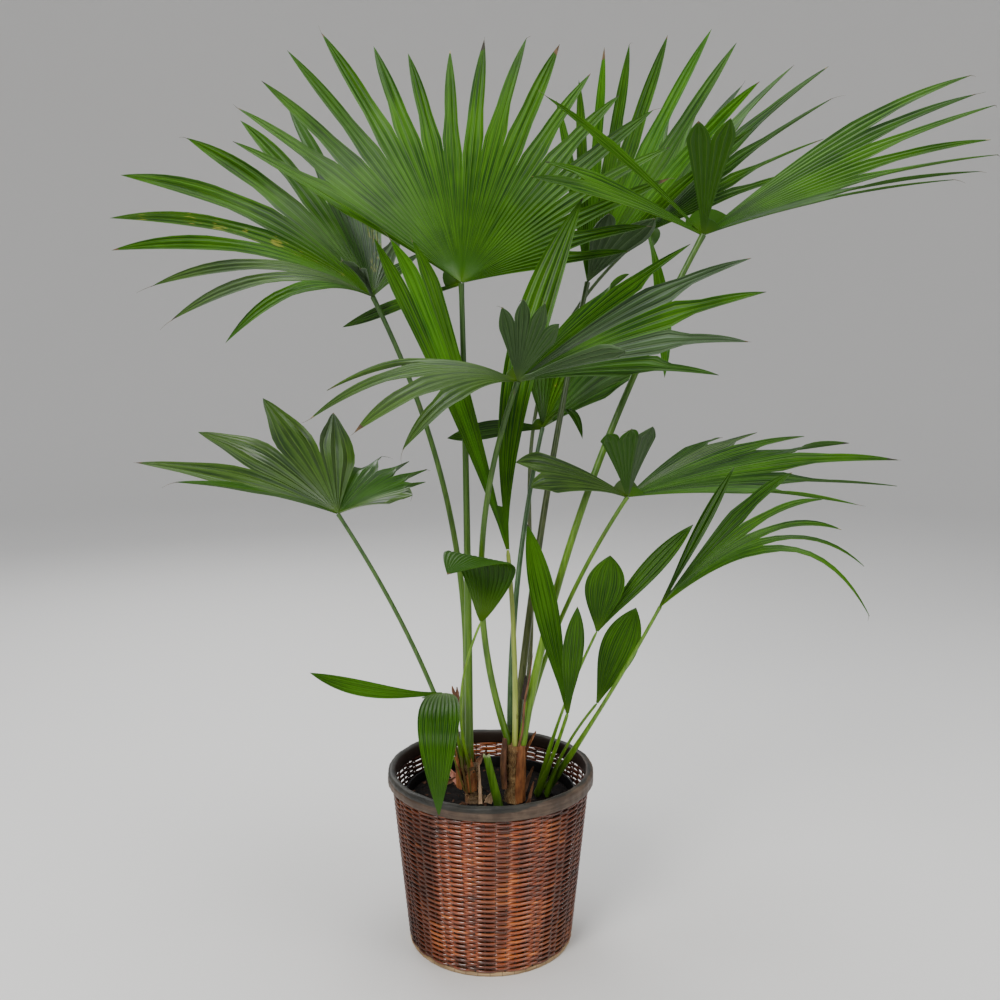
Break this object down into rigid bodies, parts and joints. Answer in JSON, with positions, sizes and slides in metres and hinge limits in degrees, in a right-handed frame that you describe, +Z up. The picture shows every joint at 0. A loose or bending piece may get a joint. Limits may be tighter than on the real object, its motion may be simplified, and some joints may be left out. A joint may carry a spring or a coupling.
{
  "type": "potted fan palm",
  "caption": "Potted fan palm: pleated palmate leaves on slim arching stalks from short fibrous stems, in a tapered woven basket around a plain grow pot.",
  "frame": {"origin": "centre of the flat underside of the basket's base", "axes": "+Z up, -Y towards the viewer of the picture, +X to the viewer's right"},
  "size_m": [1.3087, 0.7654, 1.4586],
  "materials": {
    "blade": "satin leaf",
    "stalk": "satin green stalk",
    "fibre": "dry fibre",
    "wicker": "varnished cane",
    "rim": "dark satin cane",
    "base": "bare cane",
    "pot": "matte black",
    "soil": "loose bark mix"
  },
  "bodies": {
    "root": {"basket_wall": "wicker", "basket_rim": "rim", "basket_base": "base", "grow_pot": "pot", "potting_mix": "soil", "trunk_main": "fibre", "trunk_left": "fibre", "cut_stalk": "stalk", "dry_spike": "fibre", "stalk_top_left": "stalk", "frond_top_left": "blade", "stalk_top_centre": "stalk", "frond_top_centre": "blade", "stalk_back_right": "stalk", "frond_back_right": "blade", "stalk_rear": "stalk", "frond_rear": "blade", "stalk_top_right": "stalk", "frond_top_right": "blade", "stalk_inner": "stalk", "frond_inner": "blade", "stalk_front": "stalk", "frond_front": "blade", "stalk_half_open": "stalk", "frond_half_open": "blade", "stalk_right": "stalk", "frond_right": "blade", "stalk_left": "stalk", "frond_left": "blade", "stalk_drooping": "stalk", "frond_drooping": "blade", "stalk_folded": "stalk", "frond_folded": "blade", "stalk_spear_pair": "stalk", "frond_spear_pair": "blade", "stalk_oval": "stalk", "frond_oval": "blade", "stalk_broad": "stalk", "frond_broad": "blade", "stalk_over_rim": "stalk", "frond_over_rim": "blade"}
  },
  "joints": []
}
